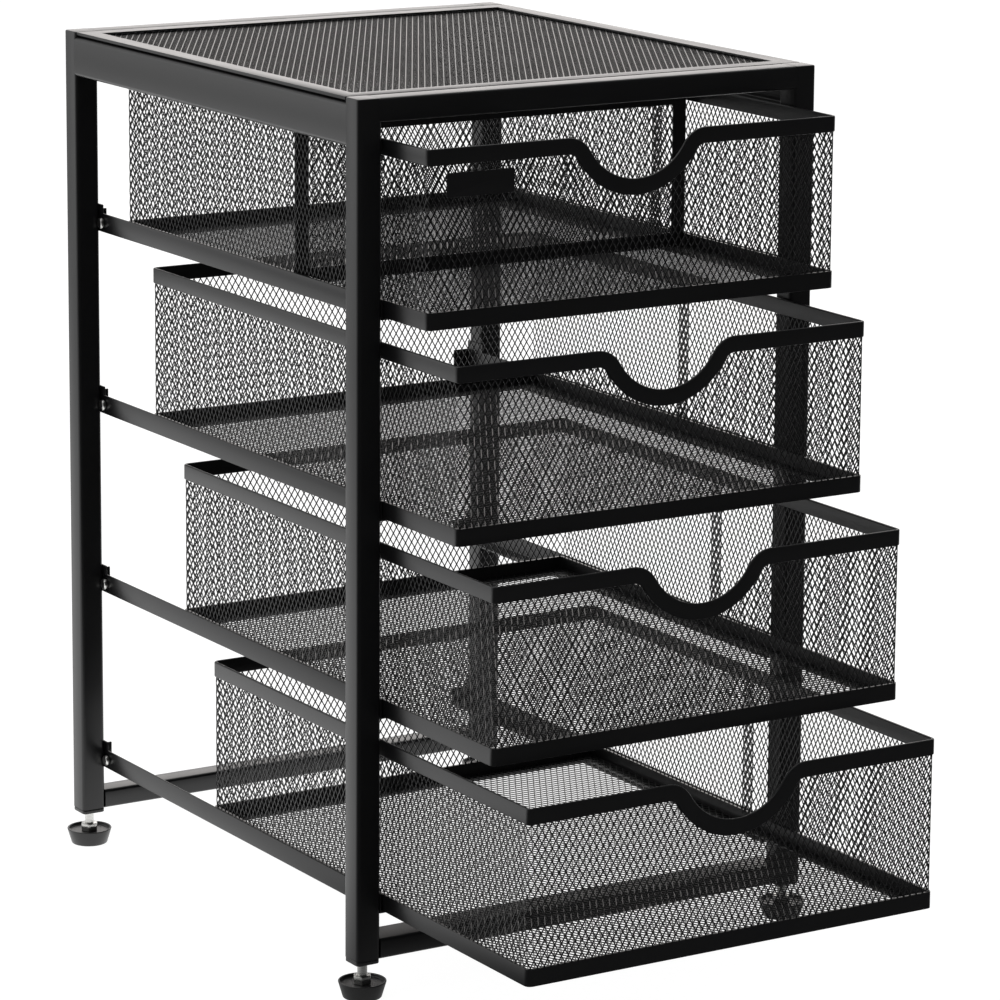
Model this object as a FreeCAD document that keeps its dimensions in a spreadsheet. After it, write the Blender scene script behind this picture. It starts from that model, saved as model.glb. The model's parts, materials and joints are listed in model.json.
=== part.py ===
import FreeCAD, Part
import math
import os
import re
import Sketcher

# Desktop mini drawers: a square-tube frame on four levelling feet, with a mesh top and four mesh drawers.
# The drawers slide on angle runners and stand open by different amounts, the lowest one furthest.
# X is across the front, -Y is the front and Z is up. The origin is on the floor, under the middle of the
# box that the furthest drawer, the frame and its back feet take up.

# Driving dimensions in millimetres
SIZES = {
    # frame
    "frame_width": 255.5,
    "frame_depth": 298.5,
    "post_side": 12.8,
    "post_wall": 1.0,
    "post_edge_radius": 2.0,
    "post_cap_chamfer": 1.0,
    "rail_height": 11.2,
    "rail_edge_radius": 1.2,
    "bar_height": 9.8,
    "front_bar_depth": 18.0,
    "side_rail_height": 20.0,
    "side_rail_wall": 1.0,
    "side_rail_flange": 10.0,
    "side_rail_return": 6.0,
    "side_rail_bend_radius": 0.7,
    # top panel
    "panel_lip_height": 2.6,
    "panel_lip_wall": 1.0,
    "panel_strip_width": 9.5,
    "panel_strip_thickness": 1.2,
    "panel_setback": 0.6,
    "panel_gap": 0.3,
    # feet
    "foot_height": 17.0,
    "pad_height": 8.0,
    "pad_top_radius": 11.65,
    "pad_bottom_radius": 9.25,
    "pad_sole": 2.5,
    "stud_radius": 2.5,
    "stud_play": 0.05,
    "stud_reach": 13.0,
    "hex_side": 4.62,
    "hex_height": 4.0,
    "plug_flange_height": 2.0,
    "plug_insert_height": 12.0,
    "plug_play": 0.1,
    # runners
    "runner_height": 9.6,
    "runner_flange": 10.0,
    "runner_wall": 1.0,
    "runner_setback": 1.0,
    "lug_rise": 4.5,
    "lug_lead": 2.5,
    # drawers
    "drawer_height": 83.1,
    "drawer_gap": 11.8,
    "head_room": 7.8,
    "floor_room": 13.4,
    "side_play": 0.55,
    "stop_play": 0.5,
    "slide_play": 0.1,
    "opening_1": 37.9,
    "opening_2": 64.7,
    "opening_3": 96.5,
    "opening_4": 127.4,
    "rim_thickness": 1.6,
    "top_rim_height": 7.8,
    "bottom_rim_height": 8.2,
    "floor_flange": 6.0,
    "floor_flange_thickness": 1.0,
    "corner_radius": 1.2,
    "scoop_width": 76.0,
    "scoop_depth": 21.5,
    "scoop_shoulder_radius": 14.0,
    # divider of the top drawer
    "divider_setback": 125.0,
    "divider_edge_width": 7.4,
    "divider_drop": 2.0,
    "divider_play": 0.3,
    # nets
    "net_thickness": 0.8,
    "net_play": 0.2,
    "net_border": 2.6,
    "strand_width": 2.4,
    "wall_gap_width": 46.0,
    "wall_gap_length": 66.0,
    "floor_gap_width": 72.0,
    "floor_gap_length": 120.0,
}
# A cut-off gap at a net's border is left out when it is smaller than this share of a whole one.
SMALLEST_GAP_SHARE = 0.08
# Two places closer than this count as one.
HAIR = 0.01
# The sides that stand in for a foot pad's round wall, to keep the four of them light.
PAD_SIDES = 28

doc = FreeCAD.newDocument("mini_drawers")
sheet = doc.addObject("Spreadsheet::Sheet", "Sizes")
for row, (alias, value) in enumerate(SIZES.items(), 1):
    sheet.set("A%d" % row, alias)
    sheet.set("B%d" % row, str(value))
    sheet.setAlias("B%d" % row, alias)
doc.recompute()

# Places and sizes worked out from the driving dimensions
PLACES = {
    "reach": "max(opening_1; opening_2; opening_3; opening_4)",
    "foot_overhang": "pad_top_radius - post_side / 2",
    "frame_left": "-frame_width / 2",
    "frame_right": "frame_width / 2",
    "frame_front": "(reach - frame_depth - foot_overhang) / 2",
    "frame_back": "(reach + frame_depth - foot_overhang) / 2",
    "tube_bottom": "foot_height + plug_flange_height",
    "drawer_pitch": "drawer_height + drawer_gap",
    "lowest_drawer": "tube_bottom + bar_height + floor_room",
    "highest_rim": "lowest_drawer + 3 * drawer_pitch + drawer_height",
    "frame_top": "highest_rim + head_room + rail_height",
    "post_height": "frame_top - tube_bottom",
    "post_bore": "post_side - 2 * post_wall",
    "post_bore_end": "post_side - post_wall",
    "post_bore_height": "post_height - post_wall",
    "span_across": "frame_width - 2 * post_side",
    "span_along": "frame_depth - 2 * post_side",
    "rail_bore_end": "rail_height - post_wall",
    "bar_bore_end": "bar_height - post_wall",
    "front_bar_bore_end": "front_bar_depth - post_wall",
    "side_rail_top": "frame_top - panel_lip_height",
    "side_rail_under_flange": "side_rail_height - side_rail_wall",
    # top panel, about the middle of the frame
    "panel_half_width": "frame_width / 2 - panel_setback",
    "panel_half_depth": "span_along / 2 - panel_gap",
    "lip_half_width": "panel_half_width - panel_lip_wall",
    "lip_half_depth": "panel_half_depth - panel_lip_wall",
    "strip_half_width": "panel_half_width - panel_strip_width",
    "strip_half_depth": "panel_half_depth - panel_strip_width",
    "strip_rise": "panel_lip_height - panel_strip_thickness",
    # feet, about the axis of each post
    "hex_flat": "hex_side * sqrt(3) / 2",
    "hex_half_side": "hex_side / 2",
    "pad_socket_radius": "stud_radius + stud_play",
    "socket_depth": "pad_height - pad_sole",
    "stud_length": "foot_height + stud_reach - pad_sole",
    "insert_side": "post_bore - 2 * plug_play",
    "insert_inset": "post_wall + plug_play",
    "insert_end": "insert_inset + insert_side",
    "plug_height": "plug_flange_height + plug_insert_height",
    "post_middle": "post_side / 2",
    # runners, from the frame's front at the inner face of its post
    "runner_length": "frame_depth - runner_setback",
    "runner_rise": "lug_rise + runner_height",
    "stop_start": "runner_length - runner_wall",
    "lug_start": "runner_length - post_side - lug_lead",
    # drawers, from the middle of the front's outer face at the drawer's underside
    "drawer_half_width": "span_across / 2 - runner_wall - side_play",
    "drawer_depth": "frame_depth - runner_wall - stop_play",
    "rim_inner_half": "drawer_half_width - rim_thickness",
    "rim_inner_end": "drawer_depth - rim_thickness",
    "flange_inner_half": "rim_inner_half - floor_flange",
    "flange_inner_start": "rim_thickness + floor_flange",
    "flange_inner_end": "rim_inner_end - floor_flange",
    "top_rim_start": "drawer_height - top_rim_height",
    "net_inset": "(rim_thickness - net_thickness) / 2",
    "net_side_half": "drawer_half_width - net_inset",
    "net_inner_half": "net_side_half - net_thickness",
    "floor_net_half": "rim_inner_half - net_play",
    "floor_net_length": "rim_inner_end - rim_thickness - 2 * net_play",
    "floor_net_top": "floor_flange_thickness + net_thickness",
    # the front's dip: two shoulders and a bowl, tangent where they meet
    "scoop_half": "scoop_width / 2",
    "scoop_run": "scoop_half * scoop_half + scoop_depth * scoop_depth",
    "scoop_sine": "2 * scoop_half * scoop_depth / scoop_run",
    "scoop_fall": "2 * scoop_depth * scoop_depth / scoop_run",
    "bowl_radius": "scoop_run / (2 * scoop_depth) - scoop_shoulder_radius",
    "bend_half": "scoop_half - scoop_shoulder_radius * scoop_sine",
    "bend_level": "drawer_height - scoop_shoulder_radius * scoop_fall",
    "under_shoulder_radius": "scoop_shoulder_radius - top_rim_height",
    "under_bowl_radius": "bowl_radius + top_rim_height",
    "under_bend_half": "scoop_half - under_shoulder_radius * scoop_sine",
    "under_bend_level": "top_rim_start - under_shoulder_radius * scoop_fall",
    # divider, from its middle at its foot
    "divider_half_width": "rim_inner_half - divider_play",
    "divider_height": "drawer_height - divider_drop - floor_net_top",
    "divider_inner_half": "divider_half_width - divider_edge_width",
    "divider_inner_top": "divider_height - divider_edge_width",
}


def with_owners(expression):
    """The expression with each named size and place written as the sheet's or the set's own."""
    def owner(match):
        word = match.group(0)
        if word in SIZES:
            return "Sizes." + word
        return "Places." + word if word in PLACES else word
    return re.sub(r"[a-z][a-z_0-9]*", owner, expression)


places = doc.addObject("App::VarSet", "Places")
for word, expression in PLACES.items():
    places.addProperty("App::PropertyFloat", word, "Places")
    places.setExpression(word, with_owners(expression))
doc.recompute()


def number(word):
    """The value of a named size or place, or of its negative."""
    if word == "0":
        return 0.0
    if word.startswith("-"):
        return -number(word[1:])
    return getattr(sheet if word in SIZES else places, word)


def bind(thing, path, expression):
    thing.setExpression(path, with_owners(expression))


def put(thing, across="0", along="0", up="0"):
    """Places a piece by expressions."""
    bind(thing, "Placement.Base.x", across)
    bind(thing, "Placement.Base.y", along)
    bind(thing, "Placement.Base.z", up)


# Sketches

def new_sketch(body, plane, name, level="0"):
    sketch = body.newObject("Sketcher::SketchObject", name)
    origin_plane = next(feature for feature in body.Origin.OriginFeatures if feature.Role == plane)
    sketch.AttachmentSupport = [(origin_plane, "")]
    sketch.MapMode = "FlatFace"
    if level != "0":
        bind(sketch, "AttachmentOffset.Base.z", level)
    return sketch


def signed(word, hand):
    if hand > 0 or word == "0":
        return word
    return word[1:] if word.startswith("-") else "-" + word


def hold_point(sketch, side, end, across, up):
    """Ties one end of a side to a named place across and up from the sketch's origin."""
    for kind, word, axis in (("DistanceX", across, -2), ("DistanceY", up, -1)):
        if word == "0":
            sketch.addConstraint(Sketcher.Constraint("PointOnObject", side, end, axis))
            continue
        index = sketch.addConstraint(Sketcher.Constraint(kind, -1, 1, side, end, number(word)))
        bind(sketch, "Constraints[%d]" % index, word)


def arc_between(start, end, radius, turn):
    """The arc under a half circle from start to end: turn is 1 for anticlockwise, -1 for clockwise."""
    chord = end - start
    across = FreeCAD.Vector(-chord.y, chord.x, 0).normalize() * turn
    centre = (start + end) / 2 + across * math.sqrt(radius ** 2 - (chord.Length / 2) ** 2)
    first, last = (start, end) if turn > 0 else (end, start)
    from_angle = math.atan2(first.y - centre.y, first.x - centre.x)
    to_angle = math.atan2(last.y - centre.y, last.x - centre.x)
    if to_angle < from_angle:
        to_angle += 2 * math.pi
    circle = Part.Circle(centre, FreeCAD.Vector(0, 0, 1), radius)
    return Part.ArcOfCircle(circle, from_angle, to_angle)


def draw_outline(sketch, corners, hand=1):
    """A closed outline through corners (across, up). A corner's third word is the radius of the side that
    leaves it: that side is an arc, which turns clockwise when the word has a minus sign."""
    first = sketch.GeometryCount
    points = [FreeCAD.Vector(hand * number(corner[0]), number(corner[1]), 0) for corner in corners]
    ends = []
    for index, corner in enumerate(corners):
        start, end = points[index], points[(index + 1) % len(points)]
        if len(corner) == 2:
            sketch.addGeometry(Part.LineSegment(start, end))
            ends.append((1, 2))
        else:
            turn = hand * (-1 if corner[2].startswith("-") else 1)
            sketch.addGeometry(arc_between(start, end, abs(number(corner[2])), turn))
            ends.append((1, 2) if turn > 0 else (2, 1))
    for index, corner in enumerate(corners):
        following = (index + 1) % len(corners)
        joined = Sketcher.Constraint(
            "Coincident", first + index, ends[index][1], first + following, ends[following][0])
        sketch.addConstraint(joined)
        hold_point(sketch, first + index, ends[index][0], signed(corner[0], hand), corner[1])
        if len(corner) == 3:
            word = corner[2].lstrip("-")
            radius = sketch.addConstraint(Sketcher.Constraint("Radius", first + index, number(word)))
            bind(sketch, "Constraints[%d]" % radius, word)


def box_outline(left, low, right, high):
    return [(left, low), (right, low), (right, high), (left, high)]


def draw_circle(sketch, radius, across="0", up="0"):
    centre = FreeCAD.Vector(number(across), number(up), 0)
    side = sketch.addGeometry(Part.Circle(centre, FreeCAD.Vector(0, 0, 1), number(radius)))
    hold_point(sketch, side, 3, across, up)
    index = sketch.addConstraint(Sketcher.Constraint("Radius", side, number(radius)))
    bind(sketch, "Constraints[%d]" % index, radius)


# Features

def new_body(label):
    body = doc.addObject("PartDesign::Body", label)
    body.Label = label
    return body


def pad(body, sketch, length, reverse=False):
    feature = body.newObject("PartDesign::Pad", "Pad")
    feature.Profile = sketch
    feature.Reversed = reverse
    bind(feature, "Length", length)
    doc.recompute()
    return feature


def pocket(body, sketch, length, reverse=False):
    """Cuts a sketch into the body, and makes sure that something was cut."""
    before = body.Shape.Volume
    feature = body.newObject("PartDesign::Pocket", "Pocket")
    feature.Profile = sketch
    feature.Reversed = reverse
    bind(feature, "Length", length)
    doc.recompute()
    assert body.Shape.Volume < before, body.Label + ": the pocket cuts nothing"
    return feature


def near(value, target):
    return abs(value - target) < HAIR


def dress(body, kind, radius, chosen):
    """Rounds or chamfers the edges of the body's tip for which chosen is true."""
    base = body.Tip
    names = ["Edge%d" % (index + 1) for index, edge in enumerate(base.Shape.Edges) if chosen(edge)]
    assert names, body.Label + ": no edge to dress"
    feature = body.newObject(kind, kind.split("::")[1])
    feature.Base = (base, names)
    bind(feature, "Radius" if kind.endswith("Fillet") else "Size", radius)
    doc.recompute()


def runs_along(edge, axis):
    """True for a straight edge along an axis: 0 is X, 1 is Y and 2 is Z."""
    if not isinstance(edge.Curve, Part.Line):
        return False
    return near(abs(edge.Curve.Direction[axis]), 1)


# Frame tubes

def make_post(label, across, along):
    """A square tube, closed at the top, with its edges eased, and open below for its plug."""
    body = new_body(label)
    square = new_sketch(body, "XY_Plane", "Section")
    draw_outline(square, box_outline("0", "0", "post_side", "post_side"))
    pad(body, square, "post_height")
    dress(body, "PartDesign::Fillet", "post_edge_radius", lambda edge: runs_along(edge, 2))
    top = number("post_height")
    dress(body, "PartDesign::Chamfer", "post_cap_chamfer", lambda edge: near(edge.BoundBox.ZMin, top))
    bore = new_sketch(body, "XY_Plane", "Bore")
    draw_outline(bore, box_outline("post_wall", "post_wall", "post_bore_end", "post_bore_end"))
    pocket(body, bore, "post_bore_height", reverse=True)
    put(body, across, along, "tube_bottom")
    return body


def make_cross_tube(label, deep, high, inner_deep, inner_high, along, up):
    """A rectangular tube across the frame, between two posts."""
    body = new_body(label)
    section = new_sketch(body, "YZ_Plane", "Section")
    draw_outline(section, box_outline("0", "0", deep, high))
    draw_outline(section, box_outline("post_wall", "post_wall", inner_deep, inner_high))
    pad(body, section, "span_across")
    corners = [(y, z) for y in (0.0, number(deep)) for z in (0.0, number(high))]
    middle = number("span_across") / 2

    def is_corner(edge):
        place = edge.CenterOfMass
        return near(place.x, middle) and any(near(place.y, y) and near(place.z, z) for y, z in corners)
    dress(body, "PartDesign::Fillet", "rail_edge_radius", is_corner)
    put(body, "frame_left + post_side", along, up)
    return body


def make_side_rail(label, hand):
    """A channel plate between a front and a back post, its flanges turned inwards."""
    body = new_body(label)
    section = new_sketch(body, "XZ_Plane", "Section")
    draw_outline(section, [
        ("0", "0"), ("side_rail_return", "0"), ("side_rail_return", "side_rail_wall"),
        ("side_rail_wall", "side_rail_wall"), ("side_rail_wall", "side_rail_under_flange"),
        ("side_rail_flange", "side_rail_under_flange"), ("side_rail_flange", "side_rail_height"),
        ("0", "side_rail_height")], hand)
    pad(body, section, "span_along", reverse=True)
    dress(body, "PartDesign::Fillet", "side_rail_bend_radius",
          lambda edge: runs_along(edge, 1) and near(edge.CenterOfMass.x, 0))
    across = "frame_left" if hand > 0 else "frame_right"
    put(body, across, "frame_front + post_side", "side_rail_top - side_rail_height")
    return body


# Top panel

def ring(sketch, outer_across, outer_along, inner_across, inner_along):
    draw_outline(sketch, box_outline("-" + outer_across, "-" + outer_along, outer_across, outer_along))
    draw_outline(sketch, box_outline("-" + inner_across, "-" + inner_along, inner_across, inner_along))


def make_panel_rim(label):
    """Four flat strips round the mesh, with a lip turned down at the outside."""
    body = new_body(label)
    lips = new_sketch(body, "XY_Plane", "Lips")
    ring(lips, "panel_half_width", "panel_half_depth", "lip_half_width", "lip_half_depth")
    pad(body, lips, "panel_lip_height")
    strips = new_sketch(body, "XY_Plane", "Strips", "strip_rise")
    ring(strips, "panel_half_width", "panel_half_depth", "strip_half_width", "strip_half_depth")
    pad(body, strips, "panel_strip_thickness")
    put(body, "0", "(frame_front + frame_back) / 2", "side_rail_top")
    return body


# Nets

def scoop_outline():
    """The front net's outline, under the dipped band of the rim, from its lower left corner."""
    half, low, high = number("net_inner_half"), 0.0, number("top_rim_start") - number("bottom_rim_height")
    bend = number("under_bend_level") - number("bottom_rim_height")
    shoulder, bowl = number("under_shoulder_radius"), number("under_bowl_radius")

    def at(across, up):
        return FreeCAD.Vector(across, up, 0)
    corners = [
        (at(-half, low), None), (at(half, low), None), (at(half, high), None),
        (at(number("scoop_half"), high), (shoulder, 1)), (at(number("under_bend_half"), bend), (bowl, -1)),
        (at(-number("under_bend_half"), bend), (shoulder, 1)), (at(-number("scoop_half"), high), None),
        (at(-half, high), None)]
    edges = []
    for index, (start, arc) in enumerate(corners):
        end = corners[(index + 1) % len(corners)][0]
        side = Part.LineSegment(start, end) if arc is None else arc_between(start, end, *arc)
        edges.append(side.toShape())
    return Part.Wire(edges)


def flat_face(points):
    return Part.Face(Part.makePolygon(points + points[:1]))


def rectangle_outline(half_across, low, high):
    corners = [(-half_across, low), (half_across, low), (half_across, high), (-half_across, high)]
    points = [FreeCAD.Vector(x, y, 0) for x, y in corners]
    return Part.makePolygon(points + points[:1])


def diamond(across, up, half_width, half_length):
    steps = [(-half_width, 0), (0, -half_length), (half_width, 0), (0, half_length)]
    return flat_face([FreeCAD.Vector(across + x, up + y, 0) for x, y in steps])


def net_plate(outline, gap_width, gap_length):
    """A flat net: one face with staggered diamond gaps inside a plain border, given its thickness.

    The spacing is fitted to a whole number of gaps each way, and the border cuts the outer ones."""
    plate = Part.Face(outline)
    box = plate.BoundBox
    border = number("net_border")
    inner = plate.makeOffset2D(-border)
    columns = max(1, round(box.XLength / gap_width))
    rows = max(1, round(box.YLength / gap_length))
    step_x, step_y = box.XLength / columns, box.YLength / rows
    strand = number("strand_width")
    slope = math.hypot(step_x, step_y)
    half_width = step_x / 2 - strand * slope / step_y / 2
    half_length = step_y / 2 - strand * slope / step_x / 2
    gaps = []
    for across in range(2 * columns + 1):
        for up in range(across % 2, 2 * rows + 1, 2):
            x = box.XMin + across * step_x / 2
            y = box.YMin + up * step_y / 2
            gaps.append(diamond(x, y, half_width, half_length))
    inside = inner.common(Part.Compound(gaps))
    smallest = SMALLEST_GAP_SHARE * 2 * half_width * half_length
    holes = [face for face in inside.Faces if face.Area > smallest]
    face = plate.cut(Part.Compound(holes)).Faces[0]
    assert len(face.Wires) == len(holes) + 1, "a gap of the net runs into its border"
    return face.extrude(FreeCAD.Vector(0, 0, number("net_thickness")))


FLAT = FreeCAD.Rotation()
FACING_FRONT = FreeCAD.Rotation(FreeCAD.Vector(1, 0, 0), 90)
FACING_LEFT = FreeCAD.Rotation(FreeCAD.Vector(0, 0, 1), -90) * FACING_FRONT


def make_net(label, outline, kind, turn, x, y, z):
    net = doc.addObject("Part::Feature", label)
    net.Label = label
    net.Shape = net_plate(outline, number(kind + "_gap_width"), number(kind + "_gap_length"))
    net.Placement = FreeCAD.Placement(FreeCAD.Vector(x, y, z), turn)
    return net


def make_panel_net(label):
    """The top's mesh, under the strips and inside the lips of its rim."""
    half_across = number("lip_half_width") - number("net_play")
    half_along = number("lip_half_depth") - number("net_play")
    level = number("frame_top") - number("panel_strip_thickness") - number("net_thickness")
    middle = (number("frame_front") + number("frame_back")) / 2
    outline = rectangle_outline(half_across, -half_along, half_along)
    return make_net(label, outline, "floor", FLAT, 0, middle, level)


# Feet

def around(radius, up):
    """PAD_SIDES points spaced evenly round the Z axis."""
    turns = [2 * math.pi * side / PAD_SIDES for side in range(PAD_SIDES)]
    return [FreeCAD.Vector(radius * math.cos(turn), radius * math.sin(turn), up) for turn in turns]


def tapered_block(low_radius, high_radius, height):
    """A solid with flat sides between two level outlines, about the Z axis."""
    low, high = around(low_radius, 0), around(high_radius, height)
    faces = [flat_face(low), flat_face(high)]
    for side in range(PAD_SIDES):
        following = (side + 1) % PAD_SIDES
        faces.append(flat_face([low[side], low[following], high[following], high[side]]))
    return Part.makeSolid(Part.makeShell(faces))


def make_foot_pad(label, across, along):
    """A round pad, wider at the top, with a socket for the stud."""
    block = tapered_block(number("pad_bottom_radius"), number("pad_top_radius"), number("pad_height"))
    seat = FreeCAD.Vector(0, 0, number("pad_sole"))
    socket = Part.makeCylinder(number("pad_socket_radius"), number("socket_depth"), seat)
    foot_pad = doc.addObject("Part::Feature", label)
    foot_pad.Label = label
    foot_pad.Shape = block.cut(socket)
    put(foot_pad, across, along)
    return foot_pad


def make_foot_stud(label, across, along):
    """A levelling stud with a hexagon collar for a spanner, resting on the pad."""
    body = new_body(label)
    stud = new_sketch(body, "XY_Plane", "Stud")
    draw_circle(stud, "stud_radius")
    pad(body, stud, "stud_length")
    collar = new_sketch(body, "XY_Plane", "Collar", "socket_depth")
    draw_outline(collar, [
        ("hex_side", "0"), ("hex_half_side", "hex_flat"), ("-hex_half_side", "hex_flat"),
        ("-hex_side", "0"), ("-hex_half_side", "-hex_flat"), ("hex_half_side", "-hex_flat")])
    pad(body, collar, "hex_height")
    put(body, across, along, "pad_sole")
    return body


def make_plug(name, across, along):
    """The plug in the end of a post: a flange, an insert inside the tube and a bore for the stud."""
    body = new_body(name)
    flange = new_sketch(body, "XY_Plane", "Flange")
    draw_outline(flange, box_outline("0", "0", "post_side", "post_side"))
    draw_circle(flange, "pad_socket_radius", "post_middle", "post_middle")
    pad(body, flange, "plug_flange_height")
    insert = new_sketch(body, "XY_Plane", "Insert", "plug_flange_height")
    draw_outline(insert, box_outline("insert_inset", "insert_inset", "insert_end", "insert_end"))
    draw_circle(insert, "pad_socket_radius", "post_middle", "post_middle")
    pad(body, insert, "plug_insert_height")
    put(body, across, along, "foot_height")
    return body


def group(label, members):
    """Several like solids under one name."""
    bunch = doc.addObject("Part::Compound", label)
    bunch.Label = label
    bunch.Links = members
    return bunch


# Runners

def runner_level(level):
    """The underside of the runners that carry a drawer, which are counted from the top."""
    return "lowest_drawer + %d * drawer_pitch - slide_play - runner_wall" % (LEVELS - level)


def make_runner(label, level, hand):
    """An angle between two posts, with a stop turned in behind the drawer and a raised lug at the back."""
    body = new_body(label)
    angle = new_sketch(body, "XZ_Plane", "Angle")
    draw_outline(angle, [
        ("0", "0"), ("runner_flange", "0"), ("runner_flange", "runner_wall"),
        ("runner_wall", "runner_wall"), ("runner_wall", "runner_height"), ("0", "runner_height")], hand)
    pad(body, angle, "runner_length", reverse=True)
    stop = new_sketch(body, "XZ_Plane", "Stop", "-stop_start")
    draw_outline(stop, box_outline("0", "0", "runner_flange", "runner_height"), hand)
    pad(body, stop, "runner_wall", reverse=True)
    lug = new_sketch(body, "YZ_Plane", "Lug")
    draw_outline(lug, box_outline("lug_start", "0", "runner_length", "runner_rise"))
    pad(body, lug, "runner_wall", reverse=hand < 0)
    across = "frame_left + post_side" if hand > 0 else "frame_right - post_side"
    put(body, across, "frame_front + runner_setback", runner_level(level))
    return body


# Drawers

def drawer_front(level):
    return "frame_front - opening_%d" % level


def drawer_base(level):
    return "lowest_drawer + %d * drawer_pitch" % (LEVELS - level)


def is_drawer_corner(edge):
    """True for the four upright edges at a drawer's outer corners."""
    place = edge.CenterOfMass
    on_side = near(abs(place.x), number("drawer_half_width"))
    on_end = near(place.y, 0) or near(place.y, number("drawer_depth"))
    return runs_along(edge, 2) and on_side and on_end


def make_top_rim(label, level):
    """The band round a drawer's mouth. Its front dips between two shoulders to make room for fingers."""
    body = new_body(label)
    band = new_sketch(body, "XY_Plane", "Band", "top_rim_start")
    draw_outline(band, box_outline("-drawer_half_width", "0", "drawer_half_width", "drawer_depth"))
    draw_outline(band, box_outline("-rim_inner_half", "rim_thickness", "rim_inner_half", "rim_inner_end"))
    pad(body, band, "top_rim_height")
    mouth = new_sketch(body, "XZ_Plane", "Mouth")
    draw_outline(mouth, box_outline("-scoop_half", "top_rim_start", "scoop_half", "drawer_height"))
    pocket(body, mouth, "rim_thickness")
    dip = new_sketch(body, "XZ_Plane", "Dip")
    draw_outline(dip, [
        ("-scoop_half", "top_rim_start", "-under_shoulder_radius"),
        ("-under_bend_half", "under_bend_level", "under_bowl_radius"),
        ("under_bend_half", "under_bend_level", "-under_shoulder_radius"),
        ("scoop_half", "top_rim_start"),
        ("scoop_half", "drawer_height", "scoop_shoulder_radius"),
        ("bend_half", "bend_level", "-bowl_radius"),
        ("-bend_half", "bend_level", "scoop_shoulder_radius"),
        ("-scoop_half", "drawer_height")])
    pad(body, dip, "rim_thickness", reverse=True)
    dress(body, "PartDesign::Fillet", "corner_radius", is_drawer_corner)
    put(body, "0", drawer_front(level), drawer_base(level))
    return body


def make_bottom_rim(label, level):
    """The band round a drawer's floor, with a flange turned in under the floor mesh."""
    body = new_body(label)
    band = new_sketch(body, "XY_Plane", "Band")
    draw_outline(band, box_outline("-drawer_half_width", "0", "drawer_half_width", "drawer_depth"))
    draw_outline(band, box_outline("-rim_inner_half", "rim_thickness", "rim_inner_half", "rim_inner_end"))
    pad(body, band, "bottom_rim_height")
    flange = new_sketch(body, "XY_Plane", "Flange")
    draw_outline(flange, box_outline("-drawer_half_width", "0", "drawer_half_width", "drawer_depth"))
    draw_outline(flange, box_outline(
        "-flange_inner_half", "flange_inner_start", "flange_inner_half", "flange_inner_end"))
    pad(body, flange, "floor_flange_thickness")
    dress(body, "PartDesign::Fillet", "corner_radius", is_drawer_corner)
    put(body, "0", drawer_front(level), drawer_base(level))
    return body


def make_drawer_nets(prefix, level):
    """The four walls and the floor of a drawer, edge to edge with its rims."""
    front = number("frame_front") - number("opening_%d" % level)
    base = number("lowest_drawer") + (LEVELS - level) * number("drawer_pitch")
    foot = base + number("bottom_rim_height")
    inset, thickness, depth = number("net_inset"), number("net_thickness"), number("drawer_depth")
    wall_height = number("top_rim_start") - number("bottom_rim_height")
    across = rectangle_outline(number("net_inner_half"), 0, wall_height)
    half_depth = depth / 2 - inset
    along = rectangle_outline(half_depth, 0, wall_height)
    half_floor = number("floor_net_length") / 2
    floor = rectangle_outline(number("floor_net_half"), -half_floor, half_floor)
    middle = front + depth / 2
    side = number("net_side_half")
    floor_level = base + number("floor_flange_thickness")
    front_wall, back_wall = front + inset + thickness, front + depth - inset
    return [
        make_net(prefix + "front_mesh", scoop_outline(), "wall", FACING_FRONT, 0, front_wall, foot),
        make_net(prefix + "back_mesh", across, "wall", FACING_FRONT, 0, back_wall, foot),
        make_net(prefix + "left_mesh", along, "wall", FACING_LEFT, thickness - side, middle, foot),
        make_net(prefix + "right_mesh", along, "wall", FACING_LEFT, side, middle, foot),
        make_net(prefix + "floor_mesh", floor, "floor", FLAT, 0, middle, floor_level),
    ]


def make_divider(prefix, level):
    """A framed piece of mesh that stands across a drawer."""
    edging = new_body(prefix + "divider_edging")
    frame = new_sketch(edging, "XZ_Plane", "Frame")
    draw_outline(frame, box_outline("-divider_half_width", "0", "divider_half_width", "divider_height"))
    draw_outline(frame, box_outline(
        "-divider_inner_half", "divider_edge_width", "divider_inner_half", "divider_inner_top"))
    pad(edging, frame, "rim_thickness", reverse=True)
    put(edging, "0", drawer_front(level) + " + divider_setback", drawer_base(level) + " + floor_net_top")
    height = number("divider_inner_top") - number("divider_edge_width")
    outline = rectangle_outline(number("divider_inner_half"), 0, height)
    along = number("frame_front") - number("opening_%d" % level) + number("divider_setback")
    base = number("lowest_drawer") + (LEVELS - level) * number("drawer_pitch")
    up = base + number("floor_net_top") + number("divider_edge_width")
    back = along + number("net_inset") + number("net_thickness")
    return [edging, make_net(prefix + "divider_mesh", outline, "wall", FACING_FRONT, 0, back, up)]


# The whole piece of furniture
LEVELS = 4
CORNERS = {
    "front_left": ("frame_left", "frame_front"),
    "front_right": ("frame_right - post_side", "frame_front"),
    "back_left": ("frame_left", "frame_back - post_side"),
    "back_right": ("frame_right - post_side", "frame_back - post_side"),
}
pieces = []
plugs = []
for corner, (across, along) in CORNERS.items():
    pieces.append(make_post("post_" + corner, across, along))
    plugs.append(make_plug("plug_" + corner, across, along))
    axis_across, axis_along = across + " + post_middle", along + " + post_middle"
    pieces.append(make_foot_pad("foot_pad_" + corner, axis_across, axis_along))
    pieces.append(make_foot_stud("foot_stud_" + corner, axis_across, axis_along))
pieces.append(group("post_end_plugs", plugs))

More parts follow.
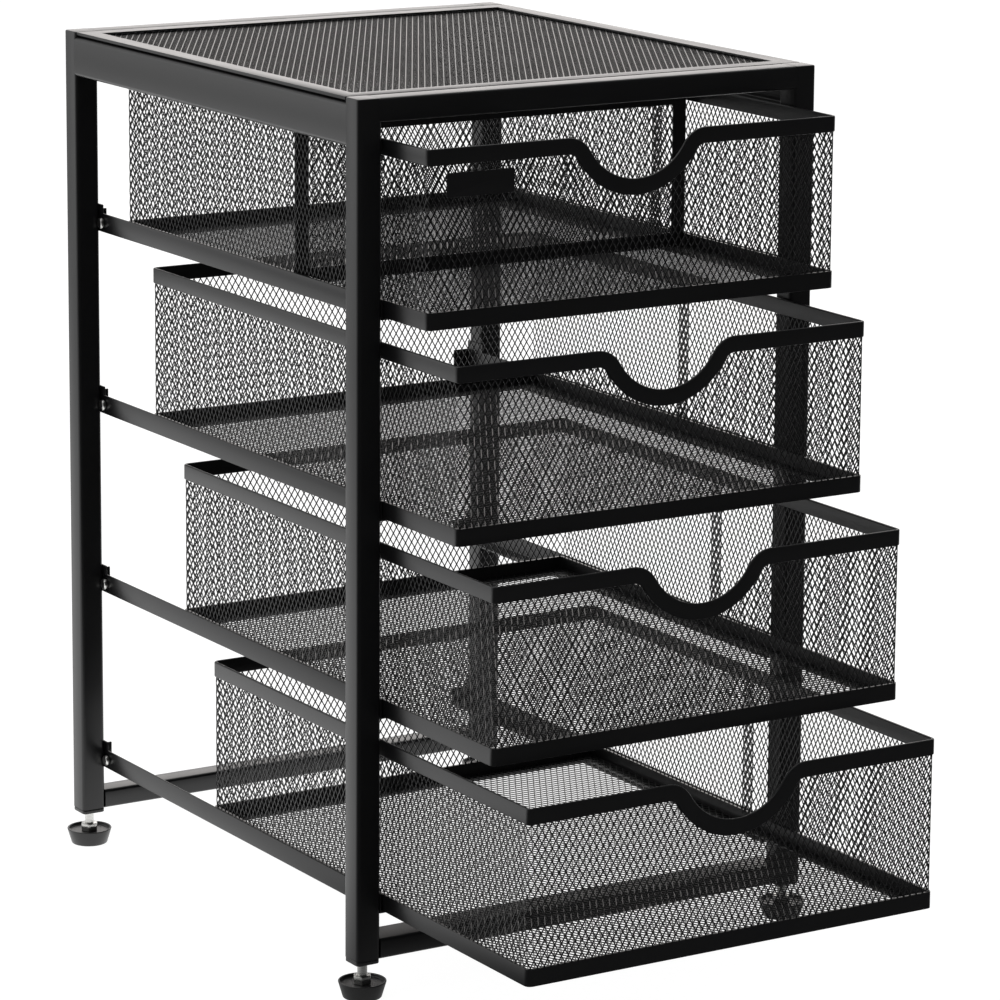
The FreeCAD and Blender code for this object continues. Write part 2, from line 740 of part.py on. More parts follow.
rail = ("post_side", "rail_height", "post_bore_end", "rail_bore_end")
pieces.append(make_cross_tube("top_rail_front", *rail, "frame_front", "frame_top - rail_height"))
pieces.append(make_cross_tube("top_rail_back", *rail, "frame_back - post_side", "frame_top - rail_height"))
pieces.append(make_side_rail("top_rail_left", 1))
pieces.append(make_side_rail("top_rail_right", -1))
front_bar = ("front_bar_depth", "bar_height", "front_bar_bore_end", "bar_bore_end")
back_bar = ("post_side", "bar_height", "post_bore_end", "bar_bore_end")
pieces.append(make_cross_tube("bottom_bar_front", *front_bar, "frame_front", "tube_bottom"))
pieces.append(make_cross_tube("bottom_bar_back", *back_bar, "frame_back - post_side", "tube_bottom"))
pieces.append(make_panel_rim("top_panel_rim"))
pieces.append(make_panel_net("top_panel_mesh"))

for level in range(1, LEVELS + 1):
    for side, hand in (("left", 1), ("right", -1)):
        pieces.append(make_runner("runner_%d_%s" % (level, side), level, hand))

for level in range(1, LEVELS + 1):
    prefix = "drawer_%d_" % level
    pieces.append(make_top_rim(prefix + "top_rim", level))
    pieces.append(make_bottom_rim(prefix + "bottom_rim", level))
    pieces += make_drawer_nets(prefix, level)
pieces += make_divider("drawer_1_", 1)

# Checks, and one file for each piece
doc.recompute()
for thing in doc.Objects:
    assert "Invalid" not in thing.State and "Error" not in thing.State, thing.Label + " failed"
for piece in pieces:
    shape = piece.Shape
    assert not shape.isNull() and shape.isValid() and shape.Solids, piece.Label + " has no good solid"
os.makedirs("parts", exist_ok=True)
for piece in pieces:
    piece.Shape.exportStep("parts/%s.step" % piece.Label)
print(len(pieces), "pieces,", sum(len(piece.Shape.Solids) for piece in pieces), "solids")
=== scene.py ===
# %% [markdown]
# # Desktop mini drawers
# A black steel frame on four levelling feet holds four mesh drawers. Every piece is modelled here as it
# would be by hand: a primitive is added at its size and place, shaped in edit mode and finished with
# modifiers. Lengths in comments are millimetres; Blender works in metres, so each named value is multiplied
# by MM.

# %% Load the fixed frame
import json
import math

import bmesh
import bpy
from mathutils import Matrix, Vector


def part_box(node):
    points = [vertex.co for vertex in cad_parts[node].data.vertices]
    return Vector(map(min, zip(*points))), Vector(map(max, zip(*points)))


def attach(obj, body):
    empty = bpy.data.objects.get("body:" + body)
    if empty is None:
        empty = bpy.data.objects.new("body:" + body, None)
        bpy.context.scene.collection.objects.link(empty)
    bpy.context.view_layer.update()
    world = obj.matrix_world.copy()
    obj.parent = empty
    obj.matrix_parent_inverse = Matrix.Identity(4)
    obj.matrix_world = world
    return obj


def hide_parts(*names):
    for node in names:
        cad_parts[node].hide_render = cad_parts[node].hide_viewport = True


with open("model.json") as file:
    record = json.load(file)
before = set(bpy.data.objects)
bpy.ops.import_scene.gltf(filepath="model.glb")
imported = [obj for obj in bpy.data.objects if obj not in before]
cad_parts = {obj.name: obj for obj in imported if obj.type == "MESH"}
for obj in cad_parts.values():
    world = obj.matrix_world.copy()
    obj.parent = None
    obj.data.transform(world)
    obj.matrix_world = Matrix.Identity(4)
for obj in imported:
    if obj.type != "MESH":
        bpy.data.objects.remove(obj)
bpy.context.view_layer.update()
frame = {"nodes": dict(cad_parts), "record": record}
MM = 0.001
NEAR = 0.01 * MM  # places that lie less than this apart count as one
LEVELS = 4

# %% [markdown]
# ## Camera
# The photograph was taken with a long lens from the front left, a little above the top. Its place comes
# from a perspective fit. The lens is shifted down, as on a view camera, so that upright edges stay nearly
# upright.

# %% Camera
CAMERA_PLACE = Vector((-1152.6, -1857.7, 712.1)) * MM
CAMERA_YAW, CAMERA_PITCH, CAMERA_ROLL = 0.5568, 0.1924, 0.0072
FOCAL_SHARE = 4.541  # focal length as a share of the picture's side
SENSOR, LENS_SHIFT = 36.0, -0.15

lens_data = bpy.data.cameras.new("camera")
lens_data.sensor_width = SENSOR
lens_data.lens = FOCAL_SHARE * SENSOR
lens_data.shift_y = LENS_SHIFT
lens_data.clip_start, lens_data.clip_end = 0.05, 60.0
camera = bpy.data.objects.new("camera", lens_data)
bpy.context.scene.collection.objects.link(camera)
camera.matrix_world = (
    Matrix.Translation(CAMERA_PLACE)
    @ Matrix.Rotation(-CAMERA_YAW, 4, "Z")
    @ Matrix.Rotation(math.pi / 2 - CAMERA_PITCH, 4, "X")
    @ Matrix.Rotation(CAMERA_ROLL, 4, "Z"))
bpy.context.scene.camera = camera
print("camera with a lens of", round(lens_data.lens, 1), "mm")

# %% [markdown]
# ## Modelling helpers
# A new primitive is selected all over, and the frame's own nodes are still selected, so each helper starts
# by deselecting everything. Faces and edges are then picked by their place or direction.


# %% Helpers for edit mode
def begin(name):
    """Names the primitive that was just added and puts its transform into its mesh."""
    piece = bpy.context.active_object
    piece.name = piece.data.name = name
    bpy.ops.object.transform_apply(location=True, rotation=True, scale=True)
    return piece


def block(name, low, high):
    """A cube between two corners."""
    bpy.ops.object.select_all(action="DESELECT")
    bpy.ops.mesh.primitive_cube_add(size=1, location=(Vector(low) + Vector(high)) / 2)
    bpy.context.active_object.scale = Vector(high) - Vector(low)
    return begin(name)


def pick(kind, wanted):
    """In edit mode, selects only the faces, edges or verts that are wanted."""
    bpy.ops.mesh.select_mode(type=kind)
    bpy.ops.mesh.select_all(action="DESELECT")
    form = bmesh.from_edit_mesh(bpy.context.active_object.data)
    found = {"FACE": form.faces, "EDGE": form.edges, "VERT": form.verts}[kind]
    count = 0
    for part in found:
        if wanted(part):
            part.select_set(True)
            count += 1
    form.select_flush_mode()
    bmesh.update_edit_mesh(bpy.context.active_object.data)
    return count


def middle(edge):
    return (edge.verts[0].co + edge.verts[1].co) / 2


def direction(edge):
    return (edge.verts[1].co - edge.verts[0].co).normalized()


def faces_to(*sides):
    """A test for faces whose normal points to one of the sides, each a vector."""
    return lambda face: any(face.normal.dot(Vector(side)) > 0.9 for side in sides)


def edges_along(axis):
    """A test for edges that run along this vector, either way."""
    return lambda edge: abs(direction(edge).dot(Vector(axis))) > 0.9


def edit():
    bpy.ops.object.mode_set(mode="EDIT")


def leave():
    bpy.ops.object.mode_set(mode="OBJECT")


def shade_smooth(below=40):
    """Shades smooth where faces meet at less than this angle, in degrees."""
    bpy.ops.object.shade_smooth_by_angle(angle=math.radians(below))


# %% Helpers for modifiers
def modify(piece, kind, **settings):
    """Adds a modifier with these settings and applies it."""
    bpy.ops.object.select_all(action="DESELECT")
    piece.select_set(True)
    bpy.context.view_layer.objects.active = piece
    bpy.ops.object.modifier_add(type=kind)
    modifier = piece.modifiers[-1]
    for key, value in settings.items():
        setattr(modifier, key, value)
    bpy.ops.object.modifier_apply(modifier=modifier.name)
    return piece


def thicken(piece, wall, outwards=False):
    return modify(piece, "SOLIDIFY", thickness=wall, offset=1 if outwards else -1, use_even_offset=True)


def round_edges(piece, width, segments=3, sharper_than=50):
    """Rounds the sharp edges and shades the rest smooth."""
    modify(piece, "BEVEL", width=width, segments=segments, limit_method="ANGLE",
           angle_limit=math.radians(sharper_than), harden_normals=False)
    shade_smooth()
    return piece


def twin(piece, name, shift):
    """A copy with its own mesh, moved inside that mesh."""
    copy = piece.copy()
    copy.data = piece.data.copy()
    copy.name = copy.data.name = name
    copy.data.transform(Matrix.Translation(shift))
    bpy.context.scene.collection.objects.link(copy)
    return copy


def mirror_twin(piece, name):
    """A copy on the other side of the YZ plane, its faces turned outwards again."""
    copy = twin(piece, name, (0, 0, 0))
    copy.data.transform(Matrix.Scale(-1, 4, (1, 0, 0)))
    copy.data.flip_normals()
    return copy


# %% [markdown]
# ## Shared effects
# Powder coat is a baked-on skin with a fine orange-peel skin of its own. Its grain is one node group, which
# each material places with its own values, so that steel, mesh and plastic differ only in size and depth of
# grain.


# %% Node helpers and the grain group
def link(tree, source, output, target, inlet):
    tree.links.new(source.outputs[output], target.inputs[inlet])


def new_group(name, inlets, outlets):
    group = bpy.data.node_groups.new(name, "ShaderNodeTree")
    for label, kind, value in inlets:
        socket = group.interface.new_socket(name=label, in_out="INPUT", socket_type=kind)
        socket.default_value = value
    for label, kind in outlets:
        group.interface.new_socket(name=label, in_out="OUTPUT", socket_type=kind)
    return group, group.nodes.new("NodeGroupInput"), group.nodes.new("NodeGroupOutput")


def grain_group():
    """Coating grain: a tone and a roughness that wander a little, and the normal of a fine orange peel."""
    group, inside, out = new_group(
        "coating_grain",
        [("Color", "NodeSocketColor", (0.03, 0.03, 0.03, 1)), ("Tone Change", "NodeSocketFloat", 0.2),
         ("Roughness", "NodeSocketFloat", 0.4), ("Roughness Change", "NodeSocketFloat", 0.08),
         ("Grain Scale", "NodeSocketFloat", 900.0), ("Grain Depth", "NodeSocketFloat", 0.1)],
        [("Color", "NodeSocketColor"), ("Roughness", "NodeSocketFloat"), ("Normal", "NodeSocketVector")])
    place = group.nodes.new("ShaderNodeTexCoord")
    patches = group.nodes.new("ShaderNodeTexNoise")
    patches.inputs["Scale"].default_value = 38.0
    patches.inputs["Detail"].default_value = 3.0
    link(group, place, "Object", patches, "Vector")
    tone = group.nodes.new("ShaderNodeMath")
    tone.operation = "MULTIPLY_ADD"
    centred = group.nodes.new("ShaderNodeMath")
    centred.operation = "SUBTRACT"
    centred.inputs[1].default_value = 0.5
    link(group, patches, "Fac", centred, 0)
    link(group, centred, 0, tone, 0)
    link(group, inside, "Tone Change", tone, 1)
    tone.inputs[2].default_value = 1.0
    shade = group.nodes.new("ShaderNodeVectorMath")
    shade.operation = "SCALE"
    link(group, inside, "Color", shade, 0)
    link(group, tone, 0, shade, "Scale")
    link(group, shade, 0, out, "Color")
    rough = group.nodes.new("ShaderNodeMath")
    rough.operation = "MULTIPLY_ADD"
    link(group, centred, 0, rough, 0)
    link(group, inside, "Roughness Change", rough, 1)
    link(group, inside, "Roughness", rough, 2)
    link(group, rough, 0, out, "Roughness")
    peel = group.nodes.new("ShaderNodeTexNoise")
    peel.inputs["Detail"].default_value = 2.0
    link(group, place, "Object", peel, "Vector")
    link(group, inside, "Grain Scale", peel, "Scale")
    bump = group.nodes.new("ShaderNodeBump")
    bump.inputs["Distance"].default_value = 0.0002
    link(group, inside, "Grain Depth", bump, "Strength")
    link(group, peel, "Fac", bump, "Height")
    link(group, bump, "Normal", out, "Normal")
    return group


GRAIN = grain_group()
print("node group", GRAIN.name)


# %% [markdown]
# ## Materials
# All the steel wears the same satin black coat. On the thin strands of the mesh it lies a little rougher.
# The plugs and foot pads are moulded plastic, and the studs and screws are zinc plated.


# %% Materials
def coated(name, color, roughness, specular, grain_scale, grain_depth, tone_change=0.25, metallic=0.0):
    material = bpy.data.materials.new(name)
    material.use_nodes = True
    tree = material.node_tree
    surface = tree.nodes["Principled BSDF"]
    surface.inputs["Specular IOR Level"].default_value = specular
    surface.inputs["Metallic"].default_value = metallic
    grain = tree.nodes.new("ShaderNodeGroup")
    grain.node_tree = GRAIN
    grain.inputs["Color"].default_value = (*color, 1)
    grain.inputs["Tone Change"].default_value = tone_change
    grain.inputs["Roughness"].default_value = roughness
    grain.inputs["Grain Scale"].default_value = grain_scale
    grain.inputs["Grain Depth"].default_value = grain_depth
    link(tree, grain, "Color", surface, "Base Color")
    link(tree, grain, "Roughness", surface, "Roughness")
    link(tree, grain, "Normal", surface, "Normal")
    return material


BLACK_STEEL = coated("powder_coat", (0.006, 0.006, 0.0065), roughness=0.3, specular=0.5,
                     grain_scale=1400, grain_depth=0.1)
BLACK_MESH = coated("powder_coat_on_mesh", (0.007, 0.007, 0.0075), roughness=0.34, specular=0.42,
                    grain_scale=2200, grain_depth=0.06)
BLACK_PLASTIC = coated("moulded_plastic", (0.013, 0.013, 0.013), roughness=0.36, specular=0.5,
                       grain_scale=2600, grain_depth=0.14)
ZINC = coated("zinc_plating", (0.62, 0.62, 0.6), roughness=0.28, specular=0.5,
              grain_scale=1800, grain_depth=0.1, tone_change=0.35, metallic=1.0)
SLOTS = {"black_steel": BLACK_STEEL, "steel_mesh": BLACK_MESH,
         "black_plastic": BLACK_PLASTIC, "zinc_steel": ZINC}
print(len(SLOTS), "materials")


def settle(piece, slot, body, *nodes):
    """Gives a piece its finish, its body and the nodes that it stands for."""
    piece.data.materials.clear()
    piece.data.materials.append(SLOTS[slot])
    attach(piece, body)
    if nodes:
        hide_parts(*nodes)
    return piece


# The carried-over nodes get their coats first, though pieces made below stand for all of them.
for row in frame["record"]["subparts"]:
    node = frame["nodes"][row["node"]]
    node.data.materials.clear()
    node.data.materials.append(SLOTS[row["material_slot"]])

# %% [markdown]
# ## Posts
# A post is a square tube with rounded edges, capped and ground smooth at the top. A cube is enough to start
# from: its four long edges get the tube's own radius, the top edges the smaller radius of the ground cap,
# and the lower edges the bare break of a sawn end.

# %% Posts
POST_EDGE, POST_CAP, POST_FOOT = 2.0 * MM, 0.7 * MM, 0.25 * MM
UPRIGHT = Vector((0, 0, 1))
CORNERS = ("front_left", "front_right", "back_left", "back_right")


def make_post(corner):
    low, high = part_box("post_" + corner)
    post = block("post_shell_" + corner, low, high)
    edit()
    pick("EDGE", edges_along(UPRIGHT))
    bpy.ops.mesh.bevel(offset=POST_EDGE, segments=4, affect="EDGES")
    pick("EDGE", lambda edge: all(vert.co.z > high.z - NEAR for vert in edge.verts))
    bpy.ops.mesh.bevel(offset=POST_CAP, segments=4, affect="EDGES")
    pick("EDGE", lambda edge: all(vert.co.z < low.z + NEAR for vert in edge.verts))
    bpy.ops.mesh.bevel(offset=POST_FOOT, segments=1, affect="EDGES")
    leave()
    shade_smooth()
    return settle(post, "black_steel", "frame", "post_" + corner)


for corner in CORNERS:
    make_post(corner)

# %% [markdown]
# ## Rails and bars
# The rails and bars are rectangular tubes welded between the posts. At the top the welds are filled and
# ground flush, so there a rail's ends reach over the posts' rounded edges and close the groove. Only the
# long edges are rounded.

# %% Rails and bars
TUBE_EDGE, FILLED_WELD = 1.5 * MM, 2.05 * MM


def make_cross_tube(node, reach):
    low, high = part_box(node)
    tube = block(node + "_shell", low - Vector((reach, 0, 0)), high + Vector((reach, 0, 0)))
    edit()
    pick("EDGE", edges_along((1, 0, 0)))
    bpy.ops.mesh.bevel(offset=TUBE_EDGE, segments=4, affect="EDGES")
    leave()
    shade_smooth()
    return settle(tube, "black_steel", "frame", node)


for end in ("front", "back"):
    make_cross_tube("top_rail_" + end, FILLED_WELD)
    make_cross_tube("bottom_bar_" + end, 0)

# %% [markdown]
# ## Side plates
# Each side of the top is a plate bent into a channel: a broad flange above, a narrow return below. A block
# without its ends and its inner side is that channel's outside, and Solidify gives it the sheet's
# thickness.

# %% Side plates
SHEET = 1.0 * MM
SHEET_EDGE, CUT_EDGE = 0.3 * MM, 0.15 * MM
RETURN_DEPTH = 6.0 * MM
BEND = 1.9 * MM


def make_side_plate():
    low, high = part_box("top_rail_left")
    plate = block("side_plate_left", low - Vector((0, FILLED_WELD, 0)), high + Vector((0, FILLED_WELD, 0)))
    edit()
    pick("FACE", faces_to((0, 1, 0), (0, -1, 0), (1, 0, 0)))
    bpy.ops.mesh.delete(type="FACE")
    pick("EDGE", lambda edge: middle(edge).x > high.x - NEAR and middle(edge).z < low.z + NEAR)
    bpy.ops.transform.translate(value=(low.x + RETURN_DEPTH - high.x, 0, 0))
    is_long = edges_along((0, 1, 0))
    pick("EDGE", lambda edge: is_long(edge) and middle(edge).x < low.x + NEAR)
    bpy.ops.mesh.bevel(offset=BEND, segments=4, affect="EDGES")
    leave()
    thicken(plate, SHEET)
    return round_edges(plate, CUT_EDGE, 1)


plate_left = make_side_plate()
plate_right = mirror_twin(plate_left, "side_plate_right")
settle(plate_left, "black_steel", "frame", "top_rail_left")
settle(plate_right, "black_steel", "frame", "top_rail_right")

# %% [markdown]
# ## Expanded mesh
# Expanded metal is a sheet that is slit and pulled open, so its diamonds share their strands, and each
# strand lies a little aslant, one edge high and one low. A grid poked at its face centres has those
# diamonds' sides. Dissolving the grid's own lines leaves only them, insetting each diamond leaves a flat
# strand round it, and tilting the opening before it is deleted slants the strands. Solidify then gives the
# sheet's thickness.

# %% Expanded mesh
GAP_ACROSS, GAP_ALONG = 3.65 * MM, 6.05 * MM
STRAND, MESH_SHEET = 0.48 * MM, 0.38 * MM
WALL_SLANT = -0.08 * MM


def diamond_sheet(name, across, along, slant=0.0, gaps=(GAP_ACROSS, GAP_ALONG)):
    """A sheet of open diamonds of about these gaps, in the XY plane and about the origin."""
    columns, rows = round(across / gaps[0]), round(along / gaps[1])
    bpy.ops.object.select_all(action="DESELECT")
    bpy.ops.mesh.primitive_grid_add(x_subdivisions=columns, y_subdivisions=rows, size=1)
    bpy.context.active_object.scale = (across, along, 1)
    sheet = begin(name)
    edit()
    bpy.ops.mesh.select_all(action="SELECT")
    bpy.ops.mesh.poke()
    pick("EDGE", lambda edge: len(edge.link_faces) == 2 and max(abs(c) for c in direction(edge)) > 0.999)
    bpy.ops.mesh.dissolve_edges(use_verts=False)
    bpy.ops.mesh.select_all(action="SELECT")
    bpy.ops.mesh.inset(thickness=STRAND / 2, use_individual=True)
    form = bmesh.from_edit_mesh(sheet.data)
    for opening in (face for face in form.faces if face.select):
        center = opening.calc_center_median()
        for vert in opening.verts:
            vert.co.z += slant * (vert.co.x - center.x) / (gaps[0] / 2)
    bmesh.update_edit_mesh(sheet.data)
    bpy.ops.mesh.delete(type="FACE")
    leave()
    return sheet


def give_thickness(sheet):
    return modify(sheet, "SOLIDIFY", thickness=MESH_SHEET, offset=0)


# %% [markdown]
# ## Top
# The top is a tray of mesh: four strips round it, folded down at the outside into a low lip. On the left
# and right the lip then steps back in, which leaves a shadow gap above the side plates. A block that loses
# its underside and the middle of its top face is the tray's skin, cut round at the lip's height with bisect
# so that the part below can be drawn in.

# %% Top
STRIP_WIDTH = 9.5 * MM
LIP, LIP_STEP = 1.3 * MM, 1.6 * MM
TOP_GAPS = (3.5 * MM, 5.93 * MM)  # a slightly finer mesh than the drawers'


def make_tray():
    low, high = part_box("top_panel_rim")
    tray = block("top_tray", low, high)
    edit()
    pick("FACE", faces_to((0, 0, 1)))
    bpy.ops.mesh.inset(thickness=STRIP_WIDTH)
    bpy.ops.mesh.delete(type="FACE")
    pick("FACE", faces_to((0, 0, -1)))
    bpy.ops.mesh.delete(type="FACE")
    bpy.ops.mesh.select_all(action="SELECT")
    bpy.ops.mesh.bisect(plane_co=(0, 0, high.z - LIP), plane_no=(0, 0, 1))
    pick("VERT", lambda vert: vert.co.z < low.z + NEAR)
    share = 1 - 2 * LIP_STEP / (high.x - low.x)
    bpy.ops.transform.resize(value=(share, 1, 1), center_override=(low + high) / 2)
    leave()
    thicken(tray, SHEET)
    return round_edges(tray, SHEET_EDGE, 3)


settle(make_tray(), "black_steel", "frame", "top_panel_rim")
low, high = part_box("top_panel_mesh")
top_mesh = give_thickness(diamond_sheet("top_mesh", high.x - low.x, high.y - low.y, gaps=TOP_GAPS))
top_mesh.data.transform(Matrix.Translation((low + high) / 2))
settle(top_mesh, "steel_mesh", "frame", "top_panel_mesh")
print("top mesh of", len(top_mesh.data.polygons), "faces")

# %% [markdown]
# ## Runners
# A runner is an angle that a drawer's side slides on, with its end folded in as a stop and a lug raised at
# the back. The same block trick makes it. The lug is the last stretch of the web's top edge, cut off with
# bisect and raised.

# %% Runners
LUG_RISE = 4.5 * MM
LUG_LEAD = 2.5 * MM


def make_runner(level):
    low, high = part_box("runner_%d_left" % level)
    web_top = high.z - LUG_RISE
    runner = block("runner_angle_%d_left" % level, low, (high.x, high.y, web_top))
    lug_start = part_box("post_back_left")[0].y - LUG_LEAD
    edit()
    pick("FACE", faces_to((0, 0, 1), (1, 0, 0), (0, -1, 0)))
    bpy.ops.mesh.delete(type="FACE")
    bpy.ops.mesh.select_all(action="SELECT")
    bpy.ops.mesh.bisect(plane_co=(0, lug_start, 0), plane_no=(0, 1, 0))
    pick("EDGE", lambda edge: middle(edge).z > web_top - NEAR and middle(edge).x < low.x + NEAR
         and middle(edge).y > lug_start + NEAR)
    bpy.ops.mesh.extrude_region_move(TRANSFORM_OT_translate={"value": (0, 0, LUG_RISE)})
    leave()
    thicken(runner, SHEET)
    return round_edges(runner, SHEET_EDGE, 2)


for level in range(1, LEVELS + 1):
    runner = make_runner(level)
    other = mirror_twin(runner, "runner_angle_%d_right" % level)
    settle(runner, "black_steel", "frame", "runner_%d_left" % level)
    settle(other, "black_steel", "frame", "runner_%d_right" % level)

# %% [markdown]
# ## Drawer bands
# A drawer's mouth is a strip of steel, folded over the mesh. Its front dips between two shoulders into a
# bowl. The strip starts as one upright edge and is drawn along its route: extruded where it runs straight,
# spun where it turns.

# %% The band round a drawer's mouth
BAND_HEIGHT, BAND_WALL, BAND_EDGE = 7.8 * MM, 1.6 * MM, 0.7 * MM
SCOOP_HALF, SCOOP_DEPTH, SHOULDER = 38.0 * MM, 21.5 * MM, 14.0 * MM
CORNER = 3.0 * MM
SHOULDER_STEPS, BOWL_STEPS, CORNER_STEPS = 8, 24, 6


def draw_straight(shift):
    bpy.ops.mesh.extrude_region_move(TRANSFORM_OT_translate={"value": shift})


def draw_turn(center, axis, angle, steps):
    """Spins the selected edge by the right-hand rule; the operator itself counts the other way."""
    bpy.ops.mesh.spin(steps=steps, angle=-angle, center=center, axis=axis)


def make_band(name, level):
    low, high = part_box("drawer_%d_top_rim" % level)
    front, back, half, top = low.y, high.y, high.x, high.z
    run = SCOOP_HALF ** 2 + SCOOP_DEPTH ** 2
    bowl = run / (2 * SCOOP_DEPTH) - SHOULDER
    turn = math.asin(2 * SCOOP_HALF * SCOOP_DEPTH / run)
    bpy.ops.object.select_all(action="DESELECT")
    bpy.ops.mesh.primitive_plane_add(size=BAND_HEIGHT, rotation=(math.pi / 2, 0, 0),
                                     location=(CORNER - half + BAND_HEIGHT / 2, front, top - BAND_HEIGHT / 2))
    band = begin(name)
    edit()
    pick("VERT", lambda vert: vert.co.x > CORNER - half + NEAR)
    bpy.ops.mesh.delete(type="VERT")
    bpy.ops.mesh.select_all(action="SELECT")
    draw_straight((half - CORNER - SCOOP_HALF, 0, 0))
    draw_turn((-SCOOP_HALF, front, top - SHOULDER), (0, 1, 0), turn, SHOULDER_STEPS)
    draw_turn((0, front, top - SCOOP_DEPTH + bowl), (0, 1, 0), -2 * turn, BOWL_STEPS)
    draw_turn((SCOOP_HALF, front, top - SHOULDER), (0, 1, 0), turn, SHOULDER_STEPS)
    draw_straight((half - CORNER - SCOOP_HALF, 0, 0))
    along, across = back - front - 2 * CORNER, 2 * (half - CORNER)
    for side_x, side_y, leg in ((1, 0, (0, along, 0)), (1, 1, (-across, 0, 0)),
                                (0, 1, (0, -along, 0)), (0, 0, None)):
        center_x = (half - CORNER) * (1 if side_x else -1)
        center_y = back - CORNER if side_y else front + CORNER
        draw_turn((center_x, center_y, 0), (0, 0, 1), math.pi / 2, CORNER_STEPS)
        if leg:
            draw_straight(leg)
    bpy.ops.mesh.select_all(action="SELECT")
    bpy.ops.mesh.remove_doubles(threshold=1e-6)
    bpy.ops.mesh.normals_make_consistent(inside=False)
    leave()
    thicken(band, BAND_WALL)
    return round_edges(band, BAND_EDGE, 4)


# %% The band round a drawer's floor
FLANGE = 6.0 * MM


def make_foot_band(name, level):
    low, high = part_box("drawer_%d_bottom_rim" % level)
    band = block(name, low, high)
    edit()
    pick("EDGE", edges_along(UPRIGHT))
    bpy.ops.mesh.bevel(offset=CORNER, segments=CORNER_STEPS, affect="EDGES")
    pick("FACE", faces_to((0, 0, -1)))
    bpy.ops.mesh.inset(thickness=FLANGE + BAND_WALL)
    bpy.ops.mesh.delete(type="FACE")
    pick("FACE", faces_to((0, 0, 1)))
    bpy.ops.mesh.delete(type="FACE")
    leave()
    thicken(band, BAND_WALL)
    return round_edges(band, BAND_EDGE, 4)


# %% [markdown]
# ## Drawer walls
# The four walls are one length of mesh, bent round the drawer, whose ends lap each other in the middle of
# the right side. A flat sheet as long as the way round is stood up, and each of its points is carried to
# its place along that way, rounded corners and all. Where the front dips, what stands above the dip is
# taken out; the band hides the cut.

# %% Drawer walls
NET_TUCK = 2.6 * MM  # how far the mesh reaches into a band
LAP, LAP_STEP = 2 * GAP_ACROSS, 0.75 * MM


def round_way(distance, half, front, back, radius):
    """The place and the outward direction at a distance along the wall, from the middle of the right side."""
    across, along = 2 * (half - radius), back - front - 2 * radius
    place, heading = Vector((half, (front + back) / 2, 0)), math.pi / 2
    for leg in (along / 2, across, along, across, along / 2 + LAP):
        ahead = Vector((math.cos(heading), math.sin(heading), 0))
        inward = Vector((-ahead.y, ahead.x, 0))
        if distance <= leg:
            return place + ahead * distance, -inward
        distance -= leg
        place = place + ahead * leg
        bend = distance / radius
        if bend <= math.pi / 2:
            place = place + ahead * radius * math.sin(bend) + inward * radius * (1 - math.cos(bend))
            return place, ahead * math.sin(bend) - inward * math.cos(bend)
        distance -= radius * math.pi / 2
        place = place + (ahead + inward) * radius
        heading += math.pi / 2
    return place, inward


def dip_height(x, under):
    """How far below the rim, at x, a line lies that runs under the band's top edge by this much."""
    run = SCOOP_HALF ** 2 + SCOOP_DEPTH ** 2
    bowl = run / (2 * SCOOP_DEPTH) - SHOULDER + under
    shoulder = SHOULDER - under
    bend = SCOOP_HALF - shoulder * 2 * SCOOP_HALF * SCOOP_DEPTH / run
    x = abs(x)
    if x >= SCOOP_HALF:
        return under
    if x >= bend:
        return SHOULDER - math.sqrt(shoulder ** 2 - (SCOOP_HALF - x) ** 2)
    return SCOOP_DEPTH + under - bowl + math.sqrt(bowl ** 2 - x ** 2)


def make_walls(name, level):
    rim_low, rim_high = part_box("drawer_%d_top_rim" % level)
    foot_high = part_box("drawer_%d_bottom_rim" % level)[1]
    inset = BAND_WALL / 2
    half, front, back = rim_high.x - inset, rim_low.y + inset, rim_high.y - inset
    radius = CORNER - inset
    length = 4 * half + 2 * (back - front) - 8 * radius + 2 * math.pi * radius + LAP
    bottom = foot_high.z - NET_TUCK
    height = round((rim_high.z - BAND_HEIGHT + NET_TUCK - bottom) / GAP_ALONG) * GAP_ALONG
    sheet = diamond_sheet(name, length, height, WALL_SLANT)
    for vert in sheet.data.vertices:
        along, up, depth = vert.co
        along = min(max(along + length / 2, 0), length)
        at, outward = round_way(along, half, front, back, radius)
        tail = min(max(1 - (length - along - LAP) / GAP_ACROSS, 0), 1)
        vert.co = at + outward * (depth - tail * LAP_STEP) + UPRIGHT * (bottom + height / 2 + up)
    edit()
    top = rim_high.z

    def above_dip(face):
        at = face.calc_center_median()
        return at.y < front + radius and at.z > top - dip_height(at.x, BAND_HEIGHT / 2)
    pick("FACE", above_dip)
    bpy.ops.mesh.delete(type="FACE")
    leave()
    return give_thickness(sheet)


# %% [markdown]
# ## Drawer floors
# A floor is a flat sheet of the same mesh, lying on the lower band's flange. The flange is as thick as the
# band here and thinner in the source, so the floor lies higher by the difference.

# %% Drawer floors
SOURCE_FLANGE = 1.0 * MM


def make_floor(name, level):
    low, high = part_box("drawer_%d_floor_mesh" % level)
    sheet = give_thickness(diamond_sheet(name, high.x - low.x, high.y - low.y, WALL_SLANT))
    sheet.data.transform(Matrix.Translation((low + high) / 2 + UPRIGHT * (BAND_WALL - SOURCE_FLANGE)))
    return sheet


# %% [markdown]
# ## The four drawers
# The drawers are alike, so the first is modelled and the others are copies of it with their own meshes,
# moved by the distance between their rims.

